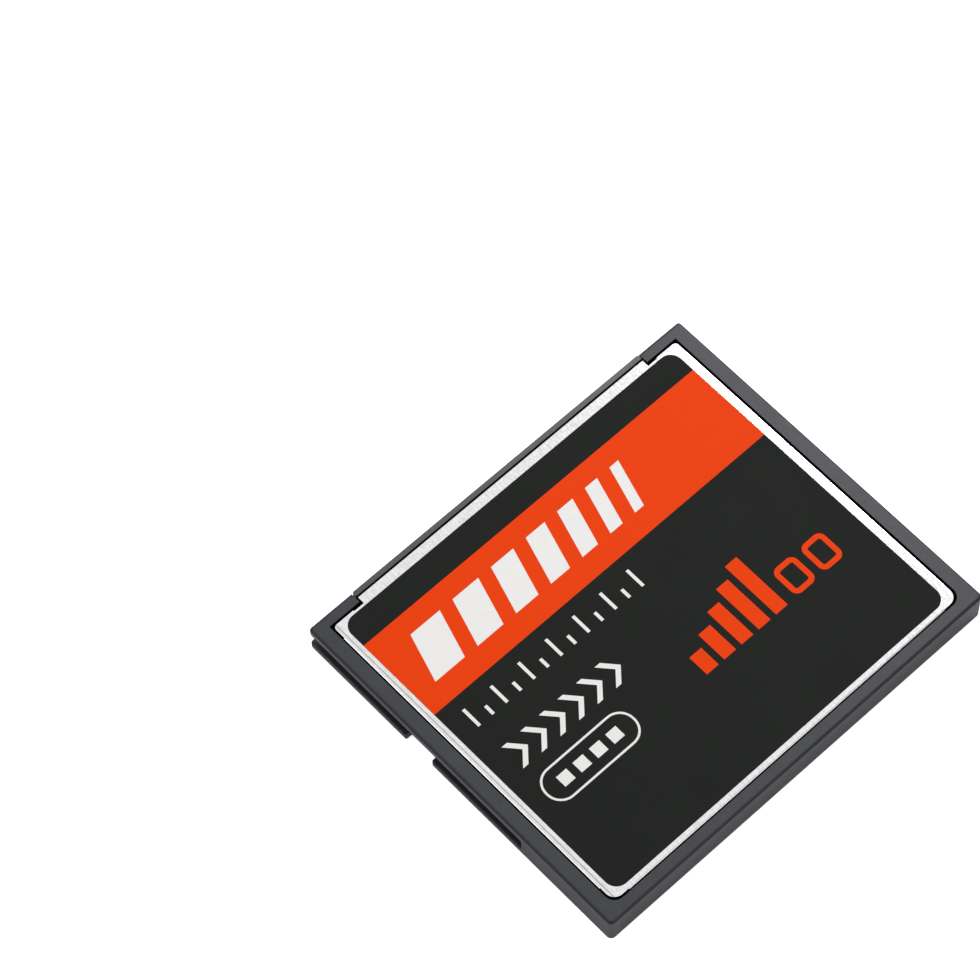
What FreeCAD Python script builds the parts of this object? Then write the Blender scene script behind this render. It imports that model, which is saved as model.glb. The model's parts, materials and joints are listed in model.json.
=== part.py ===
import FreeCAD, Part
import Sketcher
import math
import os
import re

# Compact flash memory card, lying flat with its printed front face up.
# Millimetres. X runs across the card, +Y points to the socket edge, +Z is up.
# The origin is on the resting plane, below the centre of the card's outline.

# Driving sizes. A formula below names them without the name of the sheet.
SIZES = {
    # Whole card
    "CardWidth": 42.8,
    "CardLength": 36.4,
    "CardThickness": 3.3,
    # Moulded frame
    "RailWidth": 1.435,
    "RearRailWidth": 1.19,
    "TabDepth": 1.1,
    "CornerRadius": 0.5,
    "WindowRadius": 1.0,
    "FrontCornerRadius": 0.3,
    "EdgeRadius": 0.28,
    "BackEdgeRadius": 0.18,
    "GrooveEdgeRadius": 0.12,
    # Guide grooves in the frame's sides
    "GrooveLength": 25.78,
    "GrooveDepth": 0.76,
    "UpperLip": 0.93,
    "WideGroove": 1.55,
    "NarrowGroove": 0.99,
    "GrooveEndRadius": 0.25,
    "NotchStart": 11.85,
    "NotchLength": 3.15,
    "NotchRadius": 0.2,
    "LipCornerRadius": 0.2,
    "LeadInLength": 0.4,
    "LeadInHeight": 0.6,
    # Ledge, stops and snap nubs inside the frame
    "LedgeReach": 1.0,
    "LedgeHeight": 0.2,
    "StopDepth": 0.8,
    "StopReach": 2.4,
    "EarHeight": 0.9,
    "EarDepth": 4.45,
    "EarGap": 0.05,
    "SnapSpacing": 11.0,
    "NubLength": 1.8,
    "NubHeight": 0.25,
    "NubBite": 0.15,
    "SnapClearance": 0.05,
    "SnapRise": 0.35,
    # Sheet metal covers
    "CoverInset": 0.05,
    "CoverSheet": 0.15,
    "CoverGap": 0.07,
    "CoverFrontGap": 0.2,
    "BendRadius": 0.2,
    "FoldWidth": 0.5,
    "FlangeGap": 0.08,
    "CornerStep": 0.13,
    "SideFlangeFront": 2.7,
    "SideFlangeRear": 3.0,
    "RearFlangeEnd": 3.3,
    "ReliefLength": 0.83,
    "ReliefDepth": 0.1,
    "CoverFrontRadius": 0.38,
    "CoverRearRadius": 0.95,
    # Socket housing
    "ContactPitch": 1.27,
    "RowSpacing": 1.27,
    "EndWall": 1.25,
    "HousingLength": 8.2,
    "HousingGap": 0.13,
    "HousingHeadroom": 0.03,
    "LipDepth": 0.48,
    "LipInset": 0.03,
    "LipRounding": 0.15,
    "HoleDiameter": 0.6,
    "HoleWall": 0.9,
    "FunnelDepth": 0.2,
    "FunnelAngle": 40.0,
    "ChamberWall": 0.4,
    "RowWall": 0.32,
    # Socket contacts
    "ContactGap": 0.06,
    "BoreDiameter": 0.52,
    "BoreRearWall": 0.7,
    "BarrelFrontGap": 0.1,
    "BarrelSetback": 2.2,
    "TailWidth": 0.4,
    "TailThickness": 0.15,
    "TailOverlap": 1.75,
    # Circuit board and its pads
    "BoardThickness": 0.6,
    "BoardSideGap": 0.5,
    "BoardRearGap": 0.6,
    "BoardFrontGap": 0.15,
    "BoardCorner": 0.8,
    "PadThickness": 0.04,
    "PadWidth": 0.6,
    "PadMargin": 0.1,
    # Insulating films
    "FilmThickness": 0.05,
    "FilmMargin": 0.4,
    # Chips
    "FrontZone": 5.45,
    "RearZone": 0.9,
    "ChipHeadroom": 0.04,
    "ChipStandoff": 0.05,
    "LeadPitch": 0.5,
    "LeadWidth": 0.2,
    "LeadThickness": 0.12,
    "LeadReach": 0.8,
    "FootLength": 0.45,
    "FlashWidth": 12.0,
    "FlashSideMargin": 3.35,
    "ControllerSize": 14.0,
    "ControllerSideMargin": 2.65,
    # Small components in the front zone of the board
    "CapacitorLength": 1.6,
    "CapacitorWidth": 0.8,
    "CapacitorHeight": 0.7,
    "CapacitorPitch": 2.6,
    "CapacitorSetback": 3.1,
    "ResistorLength": 1.0,
    "ResistorWidth": 0.5,
    "ResistorHeight": 0.35,
    "ResistorPitch": 1.8,
    "ResistorSetback": 4.6,
    "EndCapLength": 0.3,
    "EndCapSkin": 0.03,
    "CrystalLength": 3.2,
    "CrystalWidth": 2.4,
    "CrystalHeight": 0.7,
    "RegulatorLength": 2.9,
    "RegulatorWidth": 1.3,
    "RegulatorHeight": 0.85,
    "RegulatorLeadPitch": 0.95,
    "SmallPartSide": 4.0,
    "SmallPartSetback": 3.8,
    # Labels and their print
    "LabelThickness": 0.03,
    "InkThickness": 0.008,
    "LabelSideMargin": 0.875,
    "LabelFrontMargin": 0.31,
    "LabelRearMargin": 0.61,
    "LabelRadius": 1.2,
    "FrontLabelShift": 0.08,
    "BandDrop": 2.71,
    "BandHeight": 8.67,
    "StripeMargin": 2.1,
    "StripeRise": 2.15,
    "StripeHeight": 4.6,
    "StripeLean": 1.4,
    "StripeWidth": 3.3,
    "StripeShrink": 0.38,
    "StripeGap": 1.45,
    "ScaleMargin": 1.9,
    "ScaleDrop": 14.65,
    "ScalePitch": 1.55,
    "TickWidth": 0.3,
    "LongTick": 2.0,
    "ShortTick": 1.0,
    "ChevronMargin": 2.0,
    "ChevronDrop": 17.3,
    "ChevronPitch": 2.1,
    "ChevronHeight": 2.6,
    "ChevronDepth": 1.15,
    "ChevronStroke": 0.6,
    "PillMargin": 1.75,
    "PillDrop": 21.2,
    "PillLength": 10.0,
    "PillHeight": 3.35,
    "PillRadius": 1.6,
    "PillStroke": 0.2,
    "PillBlock": 1.15,
    "PillBlockPitch": 1.85,
    "GaugeMargin": 9.9,
    "GaugeDrop": 24.15,
    "GaugeWidth": 1.35,
    "GaugePitch": 2.0,
    "GaugeStart": 2.1,
    "GaugeStep": 1.0,
    "FrameMotifMargin": 3.1,
    "FrameMotifWidth": 2.5,
    "FrameMotifHeight": 3.1,
    "FrameMotifGap": 0.75,
    "FrameMotifStroke": 0.5,
    "FrameMotifRadius": 0.7,
    "BackFrontMargin": 0.11,
    "BackBandHeight": 6.0,
    "RedField": 4.6,
    "AmberField": 4.5,
    "YellowField": 4.0,
    "GreenField": 4.0,
    "SkyField": 6.8,
    "BlueField": 7.2,
    "OrangeField": 5.0,
    "RuleMargin": 4.0,
    "RuleDrop": 11.0,
    "RulePitch": 4.05,
    "RuleHeight": 0.16,
    "DashLength": 0.36,
    "DashPitch": 0.6,
    "ArrowMargin": 4.15,
    "ArrowHeight": 2.3,
    "ArrowLength": 1.3,
    "BackBarMargin": 8.2,
    "BackBarDrop": 6.85,
    "BackBarLength": 24.6,
    "BackBarHeight": 0.9,
    "BackBarRadius": 0.4,
    "MarkMargin": 5.2,
    "MarkDrop": 25.6,
    "MarkSize": 3.2,
    "MarkPitch": 7.0,
    "MarkStroke": 0.45,
    "MarkRadius": 0.9,
}

CONTACTS_IN_ROW = 25
CONTACT_ROWS = 2
SNAPS = (-1, 0, 1)
FLASH_LEADS = 24
CONTROLLER_LEADS = 25
REGULATOR_LEADS = 3
CAPACITORS = 8
RESISTORS = 12
STRIPES = 7
TICKS = 13
CHEVRONS = 6
PILL_BLOCKS = 4
GAUGE_BARS = 5
RULES = 4
ARROWS = 3
DASHES = 49
MARKS = 3
FRAME_MOTIFS = 2
BAND_FIELDS = ("Red", "Amber", "Yellow", "Green", "Sky", "Blue", "Orange", "Pink")

# Places that several pieces share, as formulas of the driving sizes
HALF_WIDTH = "(CardWidth / 2)"
FRONT = "(CardLength / 2)"
REAR = "(-CardLength / 2)"
MIDDLE = "(CardThickness / 2)"
RAIL_INNER = f"({HALF_WIDTH} - RailWidth)"
REAR_INNER = f"({REAR} + RearRailWidth)"
TAB_INNER = f"({FRONT} - TabDepth)"
HOUSING_SIDE = f"({(CONTACTS_IN_ROW - 1) // 2} * ContactPitch + EndWall)"
HOUSING_REAR = f"({FRONT} - HousingLength)"
TAB_END = f"({HOUSING_SIDE} + HousingGap)"
GROOVE_TOP = "(CardThickness - UpperLip)"
GROOVE_FLOOR = f"({HALF_WIDTH} - GrooveDepth)"
GROOVE_END = f"({FRONT} - GrooveLength)"
BOARD_TOP = f"({MIDDLE} + BoardThickness / 2)"
BOARD_UNDERSIDE = f"({MIDDLE} - BoardThickness / 2)"
BOARD_SIDE = f"({RAIL_INNER} - BoardSideGap)"
BOARD_REAR = f"({REAR_INNER} + BoardRearGap)"
BOARD_FRONT = f"({HOUSING_REAR} - BoardFrontGap)"
LEDGE_UNDERSIDE = f"({BOARD_UNDERSIDE} - LedgeHeight)"
COVER_TOP = "(CardThickness - CoverInset)"
COVER_INNER = f"({COVER_TOP} - CoverSheet)"
COVER_SIDE = f"({RAIL_INNER} - CoverGap)"
COVER_REAR = f"({REAR_INNER} + CoverGap)"
COVER_FRONT = f"({TAB_INNER} - CoverFrontGap)"
FLANGE_TIP = f"(CardThickness - {LEDGE_UNDERSIDE} + FlangeGap)"
FLANGE_FRONT = f"({FRONT} - SideFlangeFront)"
FLANGE_REAR = f"({REAR} + SideFlangeRear)"
SNAP_MIDDLE = f"(({FLANGE_FRONT} + {FLANGE_REAR}) / 2)"
SNAP_HEIGHT = f"({FLANGE_TIP} + SnapRise)"
FILM_INNER = f"({COVER_INNER} - FilmThickness)"
LABEL_SIDE = f"({COVER_SIDE} - LabelSideMargin)"
LABEL_REAR = f"({COVER_REAR} + LabelRearMargin)"
LABEL_FRONT = f"({COVER_FRONT} - LabelFrontMargin)"
BACK_FRONT = f"({COVER_FRONT} - BackFrontMargin)"
LABEL_TOP = f"({COVER_TOP} + LabelThickness)"
FIRST_INK = f"({LABEL_TOP} + InkThickness)"
SECOND_INK = f"({FIRST_INK} + InkThickness)"
CHAMBER_WIDTH = "(ContactPitch - ChamberWall)"
CHAMBER_HEIGHT = "(RowSpacing - RowWall)"
FIRST_CONTACT = f"(-{(CONTACTS_IN_ROW - 1) // 2} * ContactPitch)"
UPPER_ROW = f"({MIDDLE} + RowSpacing / 2)"
LOWER_ROW = f"({MIDDLE} - RowSpacing / 2)"
CHIP_HEIGHT = f"({FILM_INNER} - {BOARD_TOP} - ChipHeadroom - ChipStandoff)"
FLASH_LENGTH = f"({BOARD_FRONT} - FrontZone - {BOARD_REAR} - RearZone - 2 * LeadReach)"
CHIP_CENTRE = f"(({BOARD_FRONT} - FrontZone + {BOARD_REAR} + RearZone) / 2)"

document = FreeCAD.newDocument("FlashCard")
sheet = document.addObject("Spreadsheet::Sheet", "Sizes")


def fill_sheet():
    """Put each driving size in its own named cell."""
    for row, (name, value) in enumerate(SIZES.items(), start=1):
        sheet.set(f"A{row}", name)
        sheet.set(f"B{row}", str(value))
        sheet.setAlias(f"B{row}", name)
    document.recompute()


def formula(text):
    """Turn a formula of size names into one that the document can follow."""
    return re.sub(r"[A-Z][A-Za-z]+", r"Sizes.\g<0>", text)


def value_of(text):
    """Work out a formula with the sheet's present sizes."""
    return float(sheet.evalExpression(formula(text)))


def negative(text):
    return f"(-({text}))"


def new_body(name):
    """Start a sub-part. Its label names its file."""
    body = document.addObject("PartDesign::Body", name)
    body.Label = name
    body.AllowCompound = True
    return body


def new_sketch(body, plane_name, offset):
    """Add a sketch to one of the body's own planes, moved along the plane's normal."""
    plane = next(item for item in body.Origin.OriginFeatures if item.Role == plane_name)
    sketch = body.newObject("Sketcher::SketchObject", "Sketch")
    sketch.AttachmentSupport = [(plane, "")]
    sketch.MapMode = "FlatFace"
    sketch.setExpression("AttachmentOffset.Base.z", formula(offset))
    return sketch


def bind(sketch, kind, *arguments):
    """Add a constraint whose last argument is a formula, and keep it bound."""
    text = arguments[-1]
    index = sketch.addConstraint(Sketcher.Constraint(kind, *arguments[:-1], value_of(text)))
    sketch.setExpression(f"Constraints[{index}]", formula(text))


def fix_point(sketch, geometry, end, across, along):
    """Hold one point at its distances from the sketch's origin."""
    bind(sketch, "DistanceX", -1, 1, geometry, end, across)
    bind(sketch, "DistanceY", -1, 1, geometry, end, along)


def draw_outline(sketch, corners):
    """Draw a closed outline. A corner is (x, y), or (x, y, radius) where it is rounded."""
    count = len(corners)
    places = [FreeCAD.Vector(value_of(corner[0]), value_of(corner[1]), 0) for corner in corners]
    radii = [value_of(corner[2]) if len(corner) > 2 else 0.0 for corner in corners]
    entries = []
    exits = []
    tops = []
    for index, place in enumerate(places):
        back = (places[index - 1] - place).normalize()
        ahead = (places[(index + 1) % count] - place).normalize()
        half_angle = back.getAngle(ahead) / 2
        reach = radii[index] / math.tan(half_angle)
        entries.append(place + back * reach)
        exits.append(place + ahead * reach)
        inward = back + ahead
        if radii[index]:
            inward.normalize()
        tops.append(place + inward * radii[index] * (1 / math.sin(half_angle) - 1))
    lines = []
    for index in range(count):
        following = (index + 1) % count
        lines.append(sketch.addGeometry(Part.LineSegment(exits[index], entries[following]), False))
    for index, corner in enumerate(corners):
        before = lines[index - 1]
        after = lines[index]
        if not radii[index]:
            sketch.addConstraint(Sketcher.Constraint("Coincident", before, 2, after, 1))
            fix_point(sketch, after, 1, corner[0], corner[1])
            continue
        round_corner = sketch.addGeometry(Part.Arc(entries[index], tops[index], exits[index]), False)
        start_point = sketch.getPoint(round_corner, 1)
        starts_here = start_point.distanceToPoint(entries[index]) < radii[index] / 1000
        near_end, far_end = (1, 2) if starts_here else (2, 1)
        sketch.addConstraint(Sketcher.Constraint("Tangent", before, 2, round_corner, near_end))
        sketch.addConstraint(Sketcher.Constraint("Tangent", after, 1, round_corner, far_end))
        bind(sketch, "Radius", round_corner, corner[2])
        anchor = sketch.addGeometry(Part.Point(places[index]), True)
        sketch.addConstraint(Sketcher.Constraint("PointOnObject", anchor, 1, before))
        sketch.addConstraint(Sketcher.Constraint("PointOnObject", anchor, 1, after))
        fix_point(sketch, anchor, 1, corner[0], corner[1])


def draw_circle(sketch, across, along, diameter):
    """Draw a circle by its centre and diameter."""
    centre = FreeCAD.Vector(value_of(across), value_of(along), 0)
    circle = Part.Circle(centre, FreeCAD.Vector(0, 0, 1), value_of(diameter) / 2)
    index = sketch.addGeometry(circle, False)
    fix_point(sketch, index, 3, across, along)
    bind(sketch, "Diameter", index, diameter)


def rectangle(left, right, low, high, radius=None):
    """The corners of a rectangle, all rounded if a radius is given."""
    corners = [(left, low), (right, low), (right, high), (left, high)]
    if radius:
        return [corner + (radius,) for corner in corners]
    return corners


def mirrored(right_half):
    """Close an outline that is the same on both sides of the card's centre line."""
    left_half = [(negative(corner[0]),) + tuple(corner[1:]) for corner in reversed(right_half)]
    return list(right_half) + left_half


def add_solid(body, plane_name, low, high, *outlines):
    """Add the material between two levels inside the outlines."""
    toward_rear = plane_name == "XZ_Plane"
    sketch = new_sketch(body, plane_name, negative(high) if toward_rear else low)
    for outline in outlines:
        draw_outline(sketch, outline)
    pad = body.newObject("PartDesign::Pad", "Pad")
    pad.Profile = sketch
    pad.setExpression("Length", formula(f"({high}) - ({low})"))
    document.recompute()
    return pad


def cut(body, plane_name, low, high, *outlines, circle=None, widening=None):
    """Remove the material between two levels inside the outlines or the circle."""
    toward_rear = plane_name == "XZ_Plane"
    before = body.Shape.Volume
    sketch = new_sketch(body, plane_name, negative(low) if toward_rear else high)
    for outline in outlines:
        draw_outline(sketch, outline)
    if circle:
        draw_circle(sketch, *circle)
    pocket = body.newObject("PartDesign::Pocket", "Pocket")
    pocket.Profile = sketch
    pocket.setExpression("Length", formula(f"({high}) - ({low})"))
    if widening:
        pocket.setExpression("TaperAngle", formula(widening))
    document.recompute()
    if body.Shape.Volume >= before:
        raise ValueError(f"A cut in {body.Label} removes nothing")
    return pocket


def repeat(body, features, sketch, *directions):
    """Repeat features along one or two axes of a sketch: (axis, spacing, number) each."""
    row = body.newObject("PartDesign::LinearPattern", "Row")
    row.Originals = features
    for suffix, (axis, spacing, number) in zip(("", "2"), directions):
        setattr(row, "Direction" + suffix, (sketch, [axis]))
        row.setExpression("Length" + suffix, formula(f"{number - 1} * {spacing}"))
        setattr(row, "Occurrences" + suffix, number)
    body.Tip = row
    document.recompute()
    return row


def round_edges(body, feature, radius, chosen):
    """Round the edges of a feature that the chosen test accepts."""
    names = [f"Edge{index}" for index, edge in enumerate(feature.Shape.Edges, start=1) if chosen(edge)]
    fillet = body.newObject("PartDesign::Fillet", "Fillet")
    fillet.Base = (feature, names)
    fillet.setExpression("Radius", formula(radius))
    document.recompute()
    return fillet


def turn_over(body):
    """Turn a piece of the front side over to the back side."""
    body.Placement.Rotation = FreeCAD.Rotation(FreeCAD.Vector(0, 1, 0), 180)
    body.setExpression("Placement.Base.z", formula("CardThickness"))


def place_on_board(body, across, along, back_side=False):
    """Seat a piece, drawn about its own centre, on the front or back of the board."""
    level = BOARD_TOP
    if back_side:
        level = BOARD_UNDERSIDE
        body.Placement.Rotation = FreeCAD.Rotation(FreeCAD.Vector(0, 1, 0), 180)
    body.setExpression("Placement.Base.x", formula(across))
    body.setExpression("Placement.Base.y", formula(along))
    body.setExpression("Placement.Base.z", formula(level))


# Frame

def is_outer_edge(edge, level):
    """An edge at the given level that runs round the outside of the frame."""
    box = edge.BoundBox
    at_level = box.ZLength < 1e-6 and abs(box.ZMin - level) < 1e-6
    beside = max(abs(box.XMin), abs(box.XMax)) > value_of(RAIL_INNER) + 0.01
    behind = box.YMin < value_of(REAR_INNER) - 0.01
    return at_level and (beside or behind)


def is_front_face_edge(edge):
    return is_outer_edge(edge, value_of("CardThickness"))


def is_back_face_edge(edge):
    return is_outer_edge(edge, 0.0)


def is_groove_edge(edge):
    """An edge between a guide groove and the frame's side face."""
    box = edge.BoundBox
    on_side = box.XLength < 1e-6 and abs(abs(box.XMin) - value_of(HALF_WIDTH)) < 1e-6
    inside = box.ZMin > value_of("BackEdgeRadius") + 0.01
    below = box.ZMax < value_of("CardThickness - EdgeRadius") - 0.01
    in_length = box.YMax > value_of(GROOVE_END) - 0.01
    at_front = box.YMin > value_of(FRONT) - 0.01
    return on_side and inside and below and in_length and not at_front


def frame():
    """One moulding: three rails, two front tabs, grooves, ledge, stops and snap nubs."""
    body = new_body("frame")
    outline = mirrored([
        (TAB_END, TAB_INNER),
        (TAB_END, FRONT),
        (HALF_WIDTH, FRONT, "FrontCornerRadius"),
        (HALF_WIDTH, REAR, "CornerRadius"),
    ])
    window = mirrored([
        (RAIL_INNER, REAR_INNER, "WindowRadius"),
        (RAIL_INNER, TAB_INNER),
    ])
    ring = outline + window[2:] + window[:2]
    rails = add_solid(body, "XY_Plane", "0", "CardThickness", ring)
    rails = round_edges(body, rails, "EdgeRadius", is_front_face_edge)
    round_edges(body, rails, "BackEdgeRadius", is_back_face_edge)
    cut_grooves(body)
    cut_notches(body)
    add_frame_inside(body)
    return body


def cut_grooves(body):
    """A wide guide groove on the left and a narrow one on the right, open to the front."""
    beyond = f"({HALF_WIDTH} + 1)"
    ahead = f"({FRONT} + 1)"
    sides = ((negative(beyond), negative(GROOVE_FLOOR), "WideGroove"), (GROOVE_FLOOR, beyond, "NarrowGroove"))
    for low, high, height in sides:
        bottom = f"({GROOVE_TOP} - {height})"
        outline = [
            (GROOVE_END, bottom, "GrooveEndRadius"),
            (ahead, bottom),
            (ahead, GROOVE_TOP),
            (GROOVE_END, GROOVE_TOP, "GrooveEndRadius"),
        ]
        groove = cut(body, "YZ_Plane", low, high, outline)
    round_edges(body, groove, "GrooveEdgeRadius", is_groove_edge)


def cut_notches(body):
    """Round-cornered notches in the back-side lips, and the lead-in at each groove's mouth."""
    beyond = f"({HALF_WIDTH} + 1)"
    ahead = f"({FRONT} + 1)"
    notch_front = f"({FRONT} - NotchStart)"
    notch_rear = f"({notch_front} - NotchLength)"
    for side, height in ((-1, "WideGroove"), (1, "NarrowGroove")):
        groove_middle = f"({GROOVE_TOP} - {height} / 2)"
        outside = f"({side} * {beyond})"
        surface = f"({side} * {HALF_WIDTH})"
        floor = f"({side} * {GROOVE_FLOOR})"
        notch = [
            (outside, f"({notch_front} + 2 * LipCornerRadius)"),
            (surface, f"({notch_front} + 2 * LipCornerRadius)"),
            (surface, notch_front, "LipCornerRadius"),
            (floor, notch_front, "NotchRadius"),
            (floor, notch_rear, "NotchRadius"),
            (surface, notch_rear, "LipCornerRadius"),
            (surface, f"({notch_rear} - 2 * LipCornerRadius)"),
            (outside, f"({notch_rear} - 2 * LipCornerRadius)"),
        ]
        cut(body, "XY_Plane", "-CardThickness", groove_middle, notch)
        low, high = sorted((outside, floor), key=value_of)
        lead_in = [
            (f"({FRONT} - LeadInLength)", groove_middle),
            (ahead, groove_middle),
            (ahead, f"({GROOVE_TOP} + LeadInHeight)"),
            (FRONT, f"({GROOVE_TOP} + LeadInHeight)"),
            (f"({FRONT} - LeadInLength)", GROOVE_TOP),
        ]
        cut(body, "YZ_Plane", low, high, lead_in)


def add_frame_inside(body):
    """The ledge that carries the board, the stops behind the socket's ears, the snap nubs."""
    ledge_side = f"({RAIL_INNER} - LedgeReach)"
    ledge_rear = f"({REAR_INNER} + LedgeReach)"
    into_rail = f"({RAIL_INNER} + RailWidth / 4)"
    into_rear = f"({REAR_INNER} - RearRailWidth / 4)"
    stop_front = f"({TAB_INNER} - 2 * HousingGap - EarDepth)"
    ledge = mirrored([
        (ledge_side, ledge_rear),
        (ledge_side, stop_front),
        (into_rail, stop_front),
        (into_rail, into_rear),
    ])
    add_solid(body, "XY_Plane", LEDGE_UNDERSIDE, BOARD_UNDERSIDE, ledge)
    stop_rear = f"({stop_front} - StopDepth)"
    stop_side = f"({RAIL_INNER} - StopReach)"
    stops = [
        rectangle(stop_side, into_rail, stop_rear, stop_front),
        rectangle(negative(into_rail), negative(stop_side), stop_rear, stop_front),
    ]
    add_solid(body, "XY_Plane", f"({MIDDLE} - EarHeight / 2)", f"({MIDDLE} + EarHeight / 2)", *stops)
    nub_reach = "(CoverGap + NubBite)"
    nub_side = f"({RAIL_INNER} - {nub_reach})"
    for low, high in ((nub_side, into_rail), (negative(into_rail), negative(nub_side))):
        add_solid(body, "YZ_Plane", low, high, *snap_outlines(SNAP_MIDDLE, "NubLength", "NubHeight"))
    nub_front = f"({REAR_INNER} + {nub_reach})"
    add_solid(body, "XZ_Plane", into_rear, nub_front, *snap_outlines("0", "NubLength", "NubHeight"))


def snap_outlines(centre, length, height, both_covers=True):
    """Rectangles for the snaps of one flange, or of the flanges of both covers."""
    levels = [SNAP_HEIGHT]
    if both_covers:
        levels.append(f"(CardThickness - {SNAP_HEIGHT})")
    outlines = []
    for level in levels:
        for step in SNAPS:
            place = f"({centre} + {step} * SnapSpacing)"
            outlines.append(rectangle(
                f"({place} - {length} / 2)", f"({place} + {length} / 2)",
                f"({level} - {height} / 2)", f"({level} + {height} / 2)"))
    return outlines


# Covers

def cover(name, back_side):
    """A stamped steel cover with folded flanges on three sides and a tongue at the front."""
    body = new_body(name)
    corner_side = f"({COVER_SIDE} - CornerStep)"
    corner_rear = f"({COVER_REAR} + CornerStep)"
    fold_side = f"({COVER_SIDE} - FoldWidth)"
    fold_rear = f"({COVER_REAR} + FoldWidth)"
    tongue_side = f"({TAB_END} - CoverFrontGap)"
    relief_edge = f"({COVER_FRONT} - ReliefDepth)"
    relief_end = f"({TAB_END} + ReliefLength)"
    rear_end = f"({HALF_WIDTH} - RearFlangeEnd)"
    plate = mirrored([
        (tongue_side, f"({FRONT} - LipDepth - CoverFrontGap)"),
        (tongue_side, relief_edge),
        (relief_end, relief_edge),
        (f"({relief_end} + ReliefDepth)", COVER_FRONT),
        (corner_side, COVER_FRONT, "CoverFrontRadius"),
        (corner_side, FLANGE_FRONT),
        (fold_side, FLANGE_FRONT),
        (fold_side, FLANGE_REAR),
        (corner_side, FLANGE_REAR),
        (corner_side, corner_rear, "CoverRearRadius"),
        (rear_end, corner_rear),
        (rear_end, fold_rear),
    ])
    add_solid(body, "XY_Plane", COVER_INNER, COVER_TOP, plate)
    for side in (1, -1):
        profile = fold_profile(side, COVER_SIDE)
        add_solid(body, "XZ_Plane", FLANGE_REAR, FLANGE_FRONT, profile)
    add_solid(body, "YZ_Plane", negative(rear_end), rear_end, fold_profile(-1, negative(COVER_REAR)))
    cut_snap_windows(body)
    if back_side:
        turn_over(body)
    return body


def fold_profile(side, edge):
    """Section of a folded flange: a strip of the sheet, the bend and the flange."""
    overlap = "(FoldWidth + BendRadius)"
    return [
        (f"({side} * ({edge} - {overlap}))", COVER_TOP),
        (f"({side} * {edge})", COVER_TOP, "BendRadius"),
        (f"({side} * {edge})", FLANGE_TIP),
        (f"({side} * ({edge} - CoverSheet))", FLANGE_TIP),
        (f"({side} * ({edge} - CoverSheet))", COVER_INNER, "(BendRadius - CoverSheet)"),
        (f"({side} * ({edge} - {overlap}))", COVER_INNER),
    ]


def cut_snap_windows(body):
    """Windows in the flanges for the frame's nubs."""
    length = "(NubLength + 2 * SnapClearance)"
    height = "(NubHeight + 2 * SnapClearance)"
    side_windows = snap_outlines(SNAP_MIDDLE, length, height, both_covers=False)
    cut(body, "YZ_Plane", negative(HALF_WIDTH), HALF_WIDTH, *side_windows)
    rear_windows = snap_outlines("0", length, height, both_covers=False)
    cut(body, "XZ_Plane", REAR, f"({COVER_REAR} + FoldWidth)", *rear_windows)


def insulator(name, back_side):
    """A thin film that keeps the board's components off the cover."""
    body = new_body(name)
    side = f"({COVER_SIDE} - CoverSheet - FilmMargin)"
    rear = f"({COVER_REAR} + CoverSheet + FilmMargin)"
    outline = rectangle(negative(side), side, rear, f"({HOUSING_REAR} - FilmMargin)", "BoardCorner")
    add_solid(body, "XY_Plane", FILM_INNER, COVER_INNER, outline)
    if back_side:
        turn_over(body)
    return body


# Socket

def connector_housing():
    """The moulded socket block with two rows of tapered holes and contact chambers."""
    body = new_body("connector_housing")
    top = f"({COVER_INNER} - HousingHeadroom)"
    lip_rear = f"({FRONT} - LipDepth)"
    rear_and_top = ((HOUSING_REAR, top), (lip_rear, "(CardThickness - LipInset)"))
    for rear, level in rear_and_top:
        outline = mirrored([(HOUSING_SIDE, rear), (HOUSING_SIDE, FRONT, "LipRounding")])
        add_solid(body, "XY_Plane", f"(CardThickness - {level})", level, outline)
    ear_front = f"({TAB_INNER} - HousingGap)"
    ear_end = f"({RAIL_INNER} - EarGap)"
    ears = rectangle(negative(ear_end), ear_end, f"({ear_front} - EarDepth)", ear_front)
    add_solid(body, "XY_Plane", f"({MIDDLE} - EarHeight / 2)", f"({MIDDLE} + EarHeight / 2)", ears)
    hole = (FIRST_CONTACT, LOWER_ROW, "HoleDiameter")
    chamber_front = f"({FRONT} - HoleWall)"
    round_hole = cut(body, "XZ_Plane", chamber_front, FRONT, circle=hole)
    mouth = f"({FRONT} - FunnelDepth)"
    funnel = cut(body, "XZ_Plane", mouth, FRONT, circle=hole, widening="FunnelAngle")
    chamber_outline = rectangle(
        f"({FIRST_CONTACT} - {CHAMBER_WIDTH} / 2)", f"({FIRST_CONTACT} + {CHAMBER_WIDTH} / 2)",
        f"({LOWER_ROW} - {CHAMBER_HEIGHT} / 2)", f"({LOWER_ROW} + {CHAMBER_HEIGHT} / 2)")
    chamber = cut(body, "XZ_Plane", HOUSING_REAR, chamber_front, chamber_outline)
    repeat(body, [round_hole, funnel, chamber], chamber.Profile[0],
           ("H_Axis", "ContactPitch", CONTACTS_IN_ROW), ("V_Axis", "RowSpacing", CONTACT_ROWS))
    return body


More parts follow.
